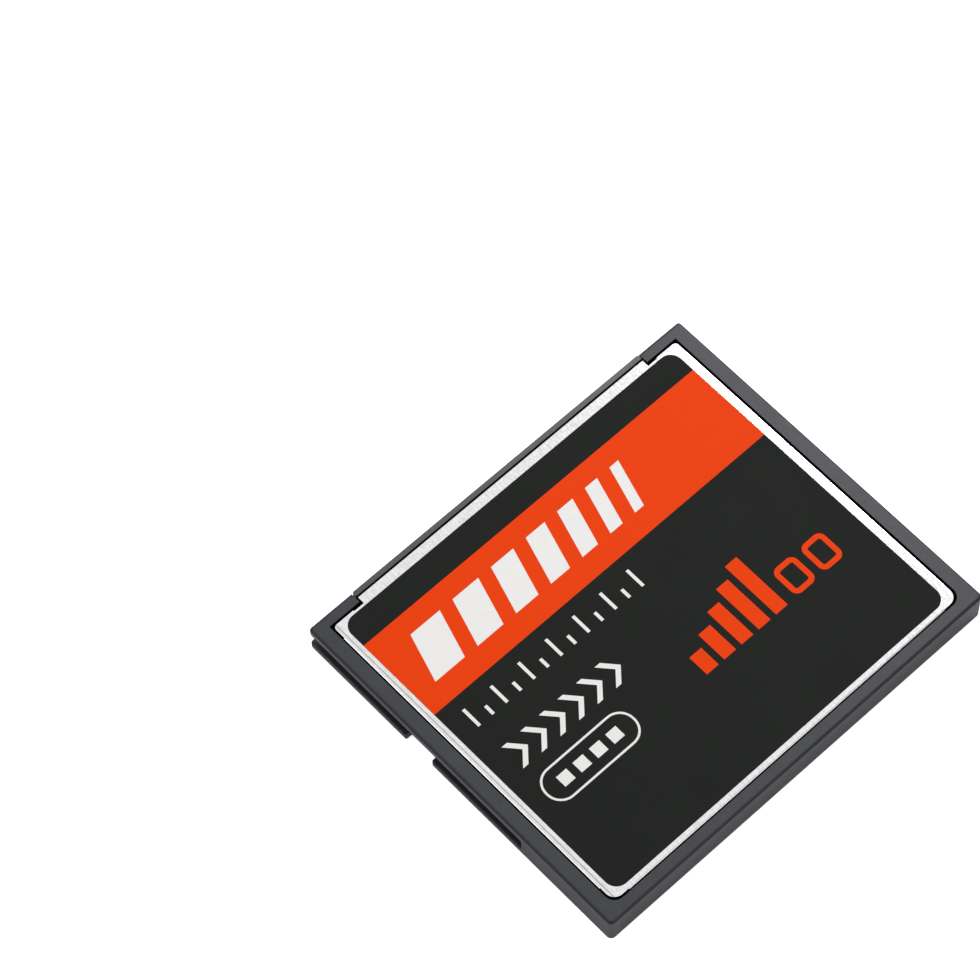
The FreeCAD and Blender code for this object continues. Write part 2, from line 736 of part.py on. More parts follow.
def contact_row(name, back_side):
    """One row of socket contacts: a bored barrel and a tail that lies on a board pad."""
    body = new_body(name)
    barrel_front = f"({FRONT} - HoleWall - BarrelFrontGap)"
    barrel_rear = f"({HOUSING_REAR} + BarrelSetback)"
    half_width = f"({CHAMBER_WIDTH} / 2 - ContactGap)"
    half_height = f"({CHAMBER_HEIGHT} / 2 - ContactGap)"
    barrel_outline = rectangle(
        f"({FIRST_CONTACT} - {half_width})", f"({FIRST_CONTACT} + {half_width})",
        f"({UPPER_ROW} - {half_height})", f"({UPPER_ROW} + {half_height})")
    barrel = add_solid(body, "XZ_Plane", barrel_rear, barrel_front, barrel_outline)
    bore = cut(body, "XZ_Plane", f"({barrel_rear} + BoreRearWall)", barrel_front,
               circle=(FIRST_CONTACT, UPPER_ROW, "BoreDiameter"))
    tail_bottom = f"({BOARD_TOP} + PadThickness)"
    tail_outline = rectangle(
        f"({FIRST_CONTACT} - TailWidth / 2)", f"({FIRST_CONTACT} + TailWidth / 2)",
        tail_bottom, f"({tail_bottom} + TailThickness)")
    tail = add_solid(body, "XZ_Plane", f"({BOARD_FRONT} - TailOverlap)",
                     f"({barrel_rear} + BoreRearWall / 2)", tail_outline)
    repeat(body, [barrel, bore, tail], tail.Profile[0], ("H_Axis", "ContactPitch", CONTACTS_IN_ROW))
    if back_side:
        turn_over(body)
    return body


# Board

def circuit_board():
    """The board, carried by the frame's ledge behind the socket."""
    body = new_body("circuit_board")
    outline = rectangle(negative(BOARD_SIDE), BOARD_SIDE, BOARD_REAR, BOARD_FRONT, "BoardCorner")
    add_solid(body, "XY_Plane", BOARD_UNDERSIDE, BOARD_TOP, outline)
    return body


def board_pads(name, back_side):
    """Plated pads under the contact tails of one row."""
    body = new_body(name)
    front = f"({BOARD_FRONT} - PadMargin)"
    outline = rectangle(
        f"({FIRST_CONTACT} - PadWidth / 2)", f"({FIRST_CONTACT} + PadWidth / 2)",
        f"({BOARD_FRONT} - TailOverlap - PadMargin)", front)
    pad = add_solid(body, "XY_Plane", BOARD_TOP, f"({BOARD_TOP} + PadThickness)", outline)
    repeat(body, [pad], pad.Profile[0], ("H_Axis", "ContactPitch", CONTACTS_IN_ROW))
    if back_side:
        turn_over(body)
    return body


def chip_body(name, width, length, height, standoff="ChipStandoff"):
    """The moulded package of a chip, drawn about its own centre."""
    body = new_body(name)
    outline = rectangle(f"(-{width} / 2)", f"({width} / 2)", f"(-{length} / 2)", f"({length} / 2)")
    add_solid(body, "XY_Plane", standoff, f"({standoff} + {height})", outline)
    return body


def chip_leads(name, length, height, pitch, number, all_round):
    """Gull-wing leads on two or four sides of a package, drawn about its own centre."""
    body = new_body(name)
    wall = f"({length} / 2)"
    middle = f"(ChipStandoff + {height} / 2)"
    outer = f"({wall} + LeadReach)"
    foot_start = f"({outer} - FootLength)"
    profile = [
        (wall, f"({middle} - LeadThickness / 2)"),
        (f"({foot_start} - LeadThickness)", f"({middle} - LeadThickness / 2)"),
        (f"({foot_start} - LeadThickness)", "0"),
        (outer, "0"),
        (outer, "LeadThickness"),
        (foot_start, "LeadThickness"),
        (foot_start, f"({middle} + LeadThickness / 2)"),
        (wall, f"({middle} + LeadThickness / 2)"),
    ]
    first = f"(-{number - 1} / 2 * {pitch})"
    lead = add_solid(body, "YZ_Plane", f"({first} - LeadWidth / 2)", f"({first} + LeadWidth / 2)", profile)
    repeat(body, [lead], lead.Profile[0], ("N_Axis", pitch, number))
    sides = body.newObject("PartDesign::PolarPattern", "Sides")
    sides.TransformMode = "Whole shape"
    axis = next(item for item in body.Origin.OriginFeatures if item.Role == "Z_Axis")
    sides.Axis = (axis, [""])
    sides.Angle = 360
    sides.Occurrences = 4 if all_round else 2
    body.Tip = sides
    document.recompute()
    return body


def controller():
    """The controller chip, with leads on its four sides."""
    across = f"(-{BOARD_SIDE} + ControllerSideMargin + LeadReach + ControllerSize / 2)"
    package = chip_body("controller_body", "ControllerSize", "ControllerSize", CHIP_HEIGHT)
    leads = chip_leads("controller_leads", "ControllerSize", CHIP_HEIGHT, "LeadPitch", CONTROLLER_LEADS, True)
    for body in (package, leads):
        place_on_board(body, across, CHIP_CENTRE)
    return [package, leads]


def flash_chip(name, side, back_side):
    """A memory chip with leads on its two short sides."""
    across = f"({side} * ({BOARD_SIDE} - FlashSideMargin - FlashWidth / 2))"
    package = chip_body(name + "_body", "FlashWidth", FLASH_LENGTH, CHIP_HEIGHT)
    leads = chip_leads(name + "_leads", FLASH_LENGTH, CHIP_HEIGHT, "LeadPitch", FLASH_LEADS, False)
    for body in (package, leads):
        place_on_board(body, across, CHIP_CENTRE, back_side)
    return [package, leads]


def regulator():
    """A small voltage regulator with leads on its two long sides."""
    across = f"({BOARD_SIDE} - SmallPartSide)"
    along = f"({BOARD_FRONT} - SmallPartSetback)"
    length = "RegulatorWidth"
    height = "(RegulatorHeight - ChipStandoff)"
    package = chip_body("regulator_body", "RegulatorLength", length, height)
    leads = chip_leads("regulator_leads", length, height, "RegulatorLeadPitch", REGULATOR_LEADS, False)
    for body in (package, leads):
        place_on_board(body, across, along)
    return [package, leads]


def crystal():
    """The clock crystal in its metal can."""
    body = chip_body("crystal", "CrystalLength", "CrystalWidth", "CrystalHeight", "0")
    place_on_board(body, f"(-({BOARD_SIDE} - SmallPartSide))", f"({BOARD_FRONT} - SmallPartSetback)")
    return body


def small_parts(name, kind, number, back_side):
    """A row of chip capacitors or resistors, as their bodies and their plated ends."""
    length = f"{kind}Length"
    width = f"{kind}Width"
    height = f"{kind}Height"
    pitch = f"{kind}Pitch"
    first = f"(-{number - 1} / 2 * {pitch})"
    along = f"({BOARD_FRONT} - {kind}Setback)"
    inner = f"({length} / 2 - EndCapLength)"
    bodies = new_body(name)
    outline = rectangle(
        f"({first} - {inner})", f"({first} + {inner})",
        f"({along} - {width} / 2 + EndCapSkin)", f"({along} + {width} / 2 - EndCapSkin)")
    low = f"({BOARD_TOP} + EndCapSkin)"
    block = add_solid(bodies, "XY_Plane", low, f"({BOARD_TOP} + {height} - EndCapSkin)", outline)
    repeat(bodies, [block], block.Profile[0], ("H_Axis", pitch, number))
    ends = new_body(name[:-1] + "_ends")
    caps = [
        rectangle(f"({first} - {length} / 2)", f"({first} - {inner})",
                  f"({along} - {width} / 2)", f"({along} + {width} / 2)"),
        rectangle(f"({first} + {inner})", f"({first} + {length} / 2)",
                  f"({along} - {width} / 2)", f"({along} + {width} / 2)"),
    ]
    pair = add_solid(ends, "XY_Plane", BOARD_TOP, f"({BOARD_TOP} + {height})", *caps)
    repeat(ends, [pair], pair.Profile[0], ("H_Axis", pitch, number))
    if back_side:
        turn_over(bodies)
        turn_over(ends)
    return [bodies, ends]


# Labels and print

def label(name, front_edge, back_side):
    """A film label on a cover."""
    body = new_body(name)
    outline = rectangle(negative(LABEL_SIDE), LABEL_SIDE, LABEL_REAR, front_edge, "LabelRadius")
    add_solid(body, "XY_Plane", COVER_TOP, LABEL_TOP, outline)
    place_label(body, back_side)
    return body


def print_layer(name, outlines, low=LABEL_TOP, high=FIRST_INK, back_side=False):
    """One colour of print on a label."""
    body = new_body(name)
    add_solid(body, "XY_Plane", low, high, *outlines)
    place_label(body, back_side)
    return body


def place_label(body, back_side):
    """Turn a back label or its print over, or set a front one a little off the centre line."""
    if back_side:
        turn_over(body)
    else:
        body.setExpression("Placement.Base.x", formula("-FrontLabelShift"))


def front_band():
    """The colour band across the front label."""
    top = f"({LABEL_FRONT} - BandDrop)"
    outline = rectangle(negative(LABEL_SIDE), LABEL_SIDE, f"({top} - BandHeight)", top)
    return print_layer("front_band", [outline])


def front_stripes():
    """Slanted bars on the band, each narrower than the one before."""
    base = f"({LABEL_FRONT} - BandDrop - BandHeight + StripeRise)"
    top = f"({base} + StripeHeight)"
    outlines = []
    for index in range(STRIPES):
        left = (f"(-{LABEL_SIDE} + StripeMargin + {index} * (StripeWidth + StripeGap)"
                f" - {index * (index - 1) // 2} * StripeShrink)")
        right = f"({left} + StripeWidth - {index} * StripeShrink)"
        outlines.append([
            (left, base),
            (right, base),
            (f"({right} + StripeLean)", top),
            (f"({left} + StripeLean)", top),
        ])
    return print_layer("front_stripes", outlines, FIRST_INK, SECOND_INK)


def front_light_print():
    """Light print on the dark label: a scale, chevrons and a framed row of blocks."""
    return print_layer("front_light_print", scale_outlines() + chevron_outlines() + pill_outlines())


def scale_outlines():
    """A scale of long and short ticks."""
    base = f"({LABEL_FRONT} - ScaleDrop)"
    outlines = []
    for index in range(TICKS):
        left = f"(-{LABEL_SIDE} + ScaleMargin + {index} * ScalePitch)"
        height = "ShortTick" if index % 2 else "LongTick"
        outlines.append(rectangle(left, f"({left} + TickWidth)", base, f"({base} + {height})"))
    return outlines


def chevron_outlines():
    """A row of chevrons."""
    top = f"({LABEL_FRONT} - ChevronDrop)"
    outlines = []
    for index in range(CHEVRONS):
        left = f"(-{LABEL_SIDE} + ChevronMargin + {index} * ChevronPitch)"
        outlines.append([
            (left, f"({top} - ChevronHeight)"),
            (f"({left} + ChevronStroke)", f"({top} - ChevronHeight)"),
            (f"({left} + ChevronStroke + ChevronDepth)", f"({top} - ChevronHeight / 2)"),
            (f"({left} + ChevronStroke)", top),
            (left, top),
            (f"({left} + ChevronDepth)", f"({top} - ChevronHeight / 2)"),
        ])
    return outlines


def pill_outlines():
    """A rounded frame with a row of blocks inside."""
    left = f"(-{LABEL_SIDE} + PillMargin)"
    right = f"({left} + PillLength)"
    top = f"({LABEL_FRONT} - PillDrop)"
    bottom = f"({top} - PillHeight)"
    outlines = [
        rectangle(left, right, bottom, top, "PillRadius"),
        rectangle(f"({left} + PillStroke)", f"({right} - PillStroke)", f"({bottom} + PillStroke)",
                  f"({top} - PillStroke)", "(PillRadius - PillStroke)"),
    ]
    middle = f"(({left} + {right}) / 2)"
    level = f"(({top} + {bottom}) / 2)"
    for index in range(PILL_BLOCKS):
        centre = f"({middle} + ({index} - {PILL_BLOCKS - 1} / 2) * PillBlockPitch)"
        outlines.append(rectangle(
            f"({centre} - PillBlock / 2)", f"({centre} + PillBlock / 2)",
            f"({level} - PillBlock / 2)", f"({level} + PillBlock / 2)"))
    return outlines


def front_orange_print():
    """A rising gauge of bars and rounded frames in the band's colour."""
    base = f"({LABEL_FRONT} - GaugeDrop)"
    outlines = []
    for index in range(GAUGE_BARS):
        left = f"({LABEL_SIDE} - GaugeMargin - GaugeWidth - {GAUGE_BARS - 1 - index} * GaugePitch)"
        height = f"(GaugeStart + {index} * GaugeStep)"
        outlines.append(rectangle(left, f"({left} + GaugeWidth)", base, f"({base} + {height})"))
    for index in range(FRAME_MOTIFS):
        right = f"({LABEL_SIDE} - FrameMotifMargin - {index} * (FrameMotifWidth + FrameMotifGap))"
        left = f"({right} - FrameMotifWidth)"
        top = f"({base} + FrameMotifHeight)"
        outlines.append(rectangle(left, right, base, top, "FrameMotifRadius"))
        outlines.append(rectangle(
            f"({left} + FrameMotifStroke)", f"({right} - FrameMotifStroke)",
            f"({base} + FrameMotifStroke)", f"({top} - FrameMotifStroke)",
            "(FrameMotifRadius - FrameMotifStroke)"))
    return print_layer("front_orange_print", outlines)


def back_fields():
    """A band of plain colour fields along the socket edge of the back label."""
    bodies = []
    low = f"({BACK_FRONT} - BackBandHeight)"
    left = negative(LABEL_SIDE)
    for colour in BAND_FIELDS:
        is_last = colour == BAND_FIELDS[-1]
        right = LABEL_SIDE if is_last else f"({left} + {colour}Field)"
        outline = rectangle(left, right, low, BACK_FRONT)
        if is_last:
            outline[2] = outline[2] + ("LabelRadius",)
        if colour == BAND_FIELDS[0]:
            outline[3] = outline[3] + ("LabelRadius",)
        bodies.append(print_layer(f"back_field_{colour.lower()}", [outline], back_side=True))
        left = right
    return bodies


def back_rules():
    """Dashed writing lines."""
    body = new_body("back_rules")
    lowest = f"({BACK_FRONT} - RuleDrop - {RULES - 1} * RulePitch)"
    left = f"(-{LABEL_SIDE} + RuleMargin)"
    outline = rectangle(left, f"({left} + DashLength)", lowest, f"({lowest} + RuleHeight)")
    dash = add_solid(body, "XY_Plane", LABEL_TOP, FIRST_INK, outline)
    repeat(body, [dash], dash.Profile[0], ("H_Axis", "DashPitch", DASHES), ("V_Axis", "RulePitch", RULES))
    turn_over(body)
    return body


def back_arrows():
    """A small triangle at the start of each writing line."""
    outlines = []
    for index in range(ARROWS):
        centre = f"({BACK_FRONT} - RuleDrop - ({index} + 1 / 2) * RulePitch)"
        left = f"(-{LABEL_SIDE} + ArrowMargin)"
        outlines.append([
            (left, f"({centre} - ArrowHeight / 2)"),
            (f"({left} + ArrowLength)", centre),
            (left, f"({centre} + ArrowHeight / 2)"),
        ])
    return print_layer("back_arrows", outlines, back_side=True)


def back_bar():
    """A plain rounded bar under the colour band."""
    left = f"(-{LABEL_SIDE} + BackBarMargin)"
    top = f"({BACK_FRONT} - BackBarDrop)"
    outline = rectangle(left, f"({left} + BackBarLength)", f"({top} - BackBarHeight)", top, "BackBarRadius")
    return print_layer("back_bar", [outline], back_side=True)


def back_marks():
    """Plain rounded frames near the rear edge."""
    base = f"({BACK_FRONT} - MarkDrop - MarkSize)"
    outlines = []
    for index in range(MARKS):
        left = f"(-{LABEL_SIDE} + MarkMargin + {index} * MarkPitch)"
        right = f"({left} + MarkSize)"
        top = f"({base} + MarkSize)"
        outlines.append(rectangle(left, right, base, top, "MarkRadius"))
        outlines.append(rectangle(
            f"({left} + MarkStroke)", f"({right} - MarkStroke)",
            f"({base} + MarkStroke)", f"({top} - MarkStroke)", "(MarkRadius - MarkStroke)"))
    return print_layer("back_marks", outlines, back_side=True)


def build_card():
    """Build every sub-part and return them as one list."""
    pieces = [frame()]
    pieces += [cover("top_cover", False), cover("bottom_cover", True)]
    pieces += [insulator("top_insulator", False), insulator("bottom_insulator", True)]
    pieces.append(connector_housing())
    pieces += [contact_row("upper_contacts", False), contact_row("lower_contacts", True)]
    pieces.append(circuit_board())
    pieces += [board_pads("upper_board_pads", False), board_pads("lower_board_pads", True)]
    pieces += controller()
    pieces += flash_chip("upper_flash", 1, False)
    pieces += flash_chip("lower_left_flash", -1, True)
    pieces += flash_chip("lower_right_flash", 1, True)
    pieces += regulator()
    pieces.append(crystal())
    pieces += small_parts("upper_capacitors", "Capacitor", CAPACITORS, False)
    pieces += small_parts("lower_capacitors", "Capacitor", CAPACITORS, True)
    pieces += small_parts("resistors", "Resistor", RESISTORS, False)
    pieces += [label("front_label", LABEL_FRONT, False), label("back_label", BACK_FRONT, True)]
    pieces += [front_band(), front_stripes(), front_light_print(), front_orange_print()]
    pieces += back_fields()
    pieces += [back_rules(), back_arrows(), back_bar(), back_marks()]
    return pieces


def check_document(pieces):
    """Stop if any object failed or any sub-part has no valid solid."""
    for item in document.Objects:
        if "Invalid" in item.State or "Error" in item.State:
            raise ValueError(f"{item.Label} failed: {item.State}")
    for piece in pieces:
        shape = piece.Shape
        if shape.isNull() or not shape.isValid() or not shape.Solids:
            raise ValueError(f"{piece.Label} has no valid solid")


fill_sheet()
card = build_card()
document.recompute()
check_document(card)
os.makedirs("parts", exist_ok=True)
for piece in card:
    piece.Shape.exportStep(f"parts/{piece.Label}.step")
print(f"{len(card)} sub-parts written")
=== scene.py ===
import json
import math

import bpy
from mathutils import Matrix, Vector


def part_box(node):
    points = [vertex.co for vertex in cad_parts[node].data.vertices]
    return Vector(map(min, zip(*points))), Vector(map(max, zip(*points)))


# Looks of a compact flash memory card that lies flat on a white surface.
# Metres, in the row frame: +X across the card, +Y out of its socket edge, +Z up.

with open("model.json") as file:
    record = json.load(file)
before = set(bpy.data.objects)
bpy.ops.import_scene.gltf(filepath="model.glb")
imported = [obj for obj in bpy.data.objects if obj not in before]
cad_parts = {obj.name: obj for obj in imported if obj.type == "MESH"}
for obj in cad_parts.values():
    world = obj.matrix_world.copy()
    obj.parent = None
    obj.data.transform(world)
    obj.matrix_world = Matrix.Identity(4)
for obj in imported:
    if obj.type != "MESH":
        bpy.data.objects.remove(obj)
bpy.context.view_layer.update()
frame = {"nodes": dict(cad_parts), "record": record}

MM = 0.001

# Camera, fitted to the outline of the card in the photograph
CAMERA_PLACE = Vector((-111.33, -110.00, 322.73)) * MM
CAMERA_TARGET = Vector((-0.45, 18.65, 0.0)) * MM
CAMERA_ROLL = math.radians(-2.457)
SENSOR = 36.0
LENS = 157.215
CLIP_NEAR = 0.01
CLIP_FAR = 10.0

# Sky: dim and even as light. Reflections see it dark, with a wide softbox in one direction,
# whose edge fades between the two cosines.
SKY = 0.56
SOFTBOX = (0.5, 0.3, 0.81)
SOFTBOX_EDGE = (0.7, 0.95)
REFLECTED_DARK = 0.28

# Soft lamps, as place and width in millimetres, and brightness, where 1 is white. The key lamp's
# reflection falls just beyond the right side of the card.
LAMPS = {
    "key": ((157, 88, 205), 80, 13.6),
    "side": ((60, -330, 260), 220, 1.6),
    "fill": ((-260, 160, 330), 260, 1.7),
}

# Floor, which glows for the camera and only a little in reflections
FLOOR_SIZE = 4.0
FLOOR_DROP = 0.03 * MM
FLOOR_TONE = 0.86
FLOOR_GLOW = 0.75
FLOOR_GLEAM = 0.08

WHITE = (1.0, 1.0, 1.0, 1.0)

# Two grains mix in a grainy surface. The broad one is this many times as wide as the fine one.
BROAD_GRAIN = 18
FINE_SHARE = 0.7

# Painted shade on a rounded edge, darkened into its colour. It fades into the flat face and into
# the wall, each between two values of the upward part of the normal.
EDGE_SHADE = 0.7
FLAT_FADE = (0.9, 0.985)
WALL_FADE = (0.35, 0.6)

# A painted reflection: a thin dark line along the covers' left flange
PAINTED_REFLECTION_LINE = -19.5 * MM
PAINTED_REFLECTION_LINE_WIDTH = 0.11 * MM
PAINTED_REFLECTION_SHARE = 0.5

# The gaps round the covers, where shade is painted: the frame's window, and the rear edge of the
# housing's lip
WINDOW_SIDE = 19.965 * MM
WINDOW_REAR = -17.01 * MM
WINDOW_FRONT = 17.1 * MM
WINDOW_RADIUS = 1.0 * MM
LIP_REAR = 17.68 * MM
GAP_SHADE_WIDTH = 0.06 * MM

# Colours of the fields along the back label, which run into each other
SPECTRUM = {
    "back_field_red": (250, 88, 28),
    "back_field_amber": (252, 150, 34),
    "back_field_yellow": (240, 240, 50),
    "back_field_green": (16, 170, 98),
    "back_field_sky": (54, 192, 252),
    "back_field_blue": (58, 82, 182),
    "back_field_orange": (250, 104, 40),
    "back_field_pink": (255, 110, 130),
}


def linear(*colour):
    """An sRGB colour in 0 to 255, as linear values with alpha."""
    parts = [part / 255 for part in colour]
    values = [part / 12.92 if part <= 0.04045 else ((part + 0.055) / 1.055) ** 2.4 for part in parts]
    return values + [1.0]


def shaded(colour, share):
    """A colour made lighter or darker by a share of itself."""
    return [min(part * share, 1.0) for part in colour[:3]] + [1.0]


class Graph:
    """The node tree of a material or a world, built up step by step."""

    def __init__(self, owner):
        owner.use_nodes = True
        self.nodes = owner.node_tree.nodes
        self.links = owner.node_tree.links

    def put(self, socket, value):
        """Link another socket to an input, or set it to a plain value."""
        if isinstance(value, bpy.types.NodeSocket):
            self.links.new(value, socket)
        else:
            socket.default_value = value

    def node(self, kind, values=None, **settings):
        """Add a node, set its options, then set or link its inputs."""
        made = self.nodes.new("ShaderNode" + kind)
        for key, value in settings.items():
            setattr(made, key, value)
        for key, value in (values or {}).items():
            self.put(made.inputs[key], value)
        return made

    def math(self, operation, first, second=0.0, third=0.0):
        """One step of arithmetic."""
        return self.node("Math", {0: first, 1: second, 2: third}, operation=operation).outputs["Value"]

    def span(self, factor, low, high, start=0.3, end=0.7, **settings):
        """Map a factor between start and end to a span of values."""
        values = {"Value": factor, "From Min": start, "From Max": end, "To Min": low, "To Max": high}
        return self.node("MapRange", values, **settings).outputs["Result"]


class Surface(Graph):
    """A node material round one Principled shader."""

    # The factor, the two colours and the result of a colour Mix node, by number, since its
    # sockets share names
    MIX_INPUTS = (0, 6, 7)
    MIX_RESULT = 2

    def __init__(self, name):
        self.material = bpy.data.materials.new(name)
        super().__init__(self.material)
        self.shader = self.nodes["Principled BSDF"]
        self.place = self.node("TexCoord").outputs["Object"]

    def stretched(self, along):
        """The object's own coordinates, scaled along Y. Below 1 that draws a grain out."""
        values = {"Vector": self.place, "Scale": (1.0, along, 1.0)}
        return self.node("Mapping", values).outputs["Vector"]

    def axis(self, name):
        """One of the object's own coordinates, in metres."""
        return self.node("SeparateXYZ", {"Vector": self.place}).outputs[name]

    def noise(self, grain, detail=3.0, vector=None):
        """Noise whose grain is about the given size in metres, from 0 to 1."""
        values = {"Vector": vector or self.place, "Scale": 1 / grain, "Detail": detail}
        return self.node("TexNoise", values).outputs["Fac"]

    def mix(self, factor, first, second):
        """Mix two colours."""
        values = dict(zip(self.MIX_INPUTS, (factor, first, second)))
        return self.node("Mix", values, data_type="RGBA").outputs[self.MIX_RESULT]

    def colour(self):
        """What the shader's base colour is linked to so far."""
        return self.shader.inputs["Base Color"].links[0].from_socket

    def set(self, **values):
        """Set or link the shader's inputs. An underscore stands for a space."""
        for key, value in values.items():
            self.put(self.shader.inputs[key.replace("_", " ")], value)

    def bump(self, height, depth, strength=1.0):
        """Raise the surface by a height map times the depth, in metres."""
        values = {"Height": height, "Distance": depth, "Strength": strength}
        self.set(Normal=self.node("Bump", values).outputs["Normal"])


def grainy(name, colour, grain, spread, rough, depth=0.002, gloss=0.5, metallic=0.0):
    """A plain surface with a fine grain, in millimetres, in its colour, gloss and height."""
    surface = Surface(name)
    fine = surface.noise(grain * MM, detail=4.0)
    broad = surface.noise(grain * BROAD_GRAIN * MM, detail=2.0)
    both = surface.math("MULTIPLY_ADD", fine, FINE_SHARE, surface.math("MULTIPLY", broad, 1 - FINE_SHARE))
    tone = surface.span(both, 0.0, 1.0, 0.35, 0.65)
    surface.set(
        Base_Color=surface.mix(tone, shaded(colour, 1 - spread), shaded(colour, 1 + spread)),
        Roughness=surface.span(fine, *rough),
        Metallic=metallic,
        Specular_IOR_Level=gloss,
    )
    surface.bump(fine, depth * MM)
    return surface


def shade_edges(surface):
    """Paint shade where a surface's edges are rounded, and not on its flat faces or its walls."""
    normal = surface.node("NewGeometry").outputs["Normal"]
    facing = surface.node("SeparateXYZ", {"Vector": normal})
    upward = surface.math("ABSOLUTE", facing.outputs["Z"])
    off_the_flat = surface.span(upward, 1.0, 0.0, *FLAT_FADE)
    off_the_wall = surface.span(upward, 0.0, 1.0, *WALL_FADE)
    leaning = surface.math("MULTIPLY", off_the_flat, off_the_wall)
    shade = surface.math("MULTIPLY", leaning, EDGE_SHADE)
    surface.set(Base_Color=surface.mix(shade, surface.colour(), linear(8, 8, 9)))


def shade_gap(surface, distance, gloss):
    """Paint shade, and take the gloss away, in a narrow gap, up to a small distance beyond its edge."""
    shade = surface.span(distance, 1.0, 0.0, 0.0, GAP_SHADE_WIDTH)
    surface.set(
        Base_Color=surface.mix(shade, surface.colour(), linear(4, 4, 4)),
        Specular_IOR_Level=surface.span(distance, 0.0, gloss, 0.0, GAP_SHADE_WIDTH),
    )


def beyond_window(surface):
    """How far a point of the frame lies outside its window, which has round rear corners."""
    across = surface.math("ABSOLUTE", surface.axis("X"))
    side = surface.math("ADD", across, WINDOW_RADIUS - WINDOW_SIDE)
    rear = surface.math("SUBTRACT", WINDOW_REAR + WINDOW_RADIUS, surface.axis("Y"))
    values = {"X": surface.math("MAXIMUM", side, 0.0), "Y": surface.math("MAXIMUM", rear, 0.0)}
    corner = surface.node("CombineXYZ", values).outputs["Vector"]
    reach = surface.node("VectorMath", {0: corner}, operation="LENGTH").outputs["Value"]
    outside = surface.math("SUBTRACT", reach, WINDOW_RADIUS)
    ahead = surface.math("SUBTRACT", surface.axis("Y"), WINDOW_FRONT)
    return surface.math("MAXIMUM", outside, ahead)


def frame_plastic():
    """Dark moulded plastic with a fine spark-eroded grain, and painted shade on its rounded edges and
    round its window.
    """
    gloss = 0.5
    surface = grainy("frame_plastic", linear(39, 41, 49), grain=0.14, spread=0.3, rough=(0.36, 0.5),
                     depth=0.008, gloss=gloss)
    shade_edges(surface)
    shade_gap(surface, beyond_window(surface), gloss)
    return surface


def housing_plastic():
    """Slightly paler and glossier moulded plastic, with painted shade in the gap behind its lip."""
    gloss = 0.8
    surface = grainy("housing_plastic", linear(47, 47, 47), grain=0.14, spread=0.3, rough=(0.34, 0.46),
                     depth=0.008, gloss=gloss)
    shade_gap(surface, surface.math("SUBTRACT", surface.axis("Y"), LIP_REAR), gloss)
    return surface


def cover_steel():
    """Bright satin sheet with a fine rolled grain, and a painted dark reflection as a line along its left
    flange.
    """
    surface = Surface("cover_steel")
    rolled = surface.noise(0.2 * MM, detail=4.0, vector=surface.stretched(0.3))
    fine = surface.noise(0.11 * MM, detail=4.0)
    grain = surface.math("ADD", rolled, fine)
    tone = surface.span(grain, 0.0, 1.0, 0.8, 1.2)
    sheet = surface.mix(tone, linear(217, 217, 217), linear(237, 237, 237))
    # A thin dark line painted along the left flange as a reflection
    beside = surface.math("ABSOLUTE", surface.math("SUBTRACT", surface.axis("X"), PAINTED_REFLECTION_LINE))
    painted_reflection = surface.span(beside, PAINTED_REFLECTION_SHARE, 0.0, 0.0, PAINTED_REFLECTION_LINE_WIDTH)
    surface.set(
        Base_Color=surface.mix(painted_reflection, sheet, linear(60, 60, 60)),
        Roughness=surface.span(fine, 0.1, 0.16),
        Metallic=1.0,
    )
    surface.bump(grain, 0.0012 * MM)
    return surface


def insulating_film():
    """Amber film with faint drawing lines."""
    surface = Surface("insulating_film")
    drawn = surface.noise(0.6 * MM, vector=surface.stretched(0.08))
    surface.set(
        Base_Color=surface.mix(drawn, linear(178, 104, 24), linear(218, 150, 58)),
        Roughness=surface.span(drawn, 0.14, 0.26),
        Transmission_Weight=0.35,
        IOR=1.6,
    )
    surface.bump(drawn, 0.002 * MM)
    return surface


def gold_plating():
    """Thin gold plate with a faint grain."""
    return grainy("gold_plating", linear(226, 180, 92), grain=0.06, spread=0.1, rough=(0.22, 0.36),
                  depth=0.001, metallic=1.0)


def tinned_metal():
    """Dull tin plate."""
    return grainy("tinned_metal", linear(196, 198, 200), grain=0.05, spread=0.1, rough=(0.3, 0.5),
                  depth=0.0015, metallic=1.0)


def board_laminate():
    """Green solder resist over a brick-like pattern of tracks."""
    surface = Surface("board_laminate")
    cells = surface.node("TexBrick", {
        "Vector": surface.place, "Scale": 1 / MM, "Mortar Size": 0.09, "Mortar Smooth": 0.2,
        "Brick Width": 2.4, "Row Height": 0.5,
    }, offset=0.37).outputs["Fac"]
    fine = surface.noise(0.15 * MM)
    green = surface.mix(fine, linear(14, 74, 40), linear(26, 100, 58))
    surface.set(
        Base_Color=surface.mix(surface.math("MULTIPLY", cells, 0.55), green, linear(44, 128, 70)),
        Roughness=surface.span(fine, 0.28, 0.4),
    )
    surface.bump(cells, 0.01 * MM, 0.6)
    return surface


def chip_plastic():
    """Moulded epoxy with a matt sandy face."""
    return grainy("chip_plastic", linear(40, 40, 42), grain=0.06, spread=0.25, rough=(0.55, 0.75),
                  depth=0.004, gloss=0.35)


def capacitor_ceramic():
    """Fired tan ceramic."""
    return grainy("capacitor_ceramic", linear(168, 128, 92), grain=0.05, spread=0.1, rough=(0.4, 0.55))


def resistor_glaze():
    """Dark glaze over a resistor."""
    return grainy("resistor_glaze", linear(30, 30, 34), grain=0.08, spread=0.15, rough=(0.2, 0.35),
                  depth=0.001)


def label_film(name, colour):
    """Satin printed film: a fine tooth, and a slow waviness from the adhesive."""
    surface = Surface(name)
    tooth = surface.noise(0.08 * MM, detail=4.0)
    slow = surface.noise(5.0 * MM, detail=2.0)
    tone = surface.span(surface.math("ADD", tooth, slow), 0.0, 1.0, 0.75, 1.25)
    surface.set(
        Base_Color=surface.mix(tone, shaded(colour, 0.94), shaded(colour, 1.06)),
        Roughness=surface.span(tooth, 0.5, 0.62),
        Specular_IOR_Level=0.06,
    )
    surface.bump(surface.math("MULTIPLY_ADD", tooth, 0.3, slow), 0.004 * MM)
    return surface


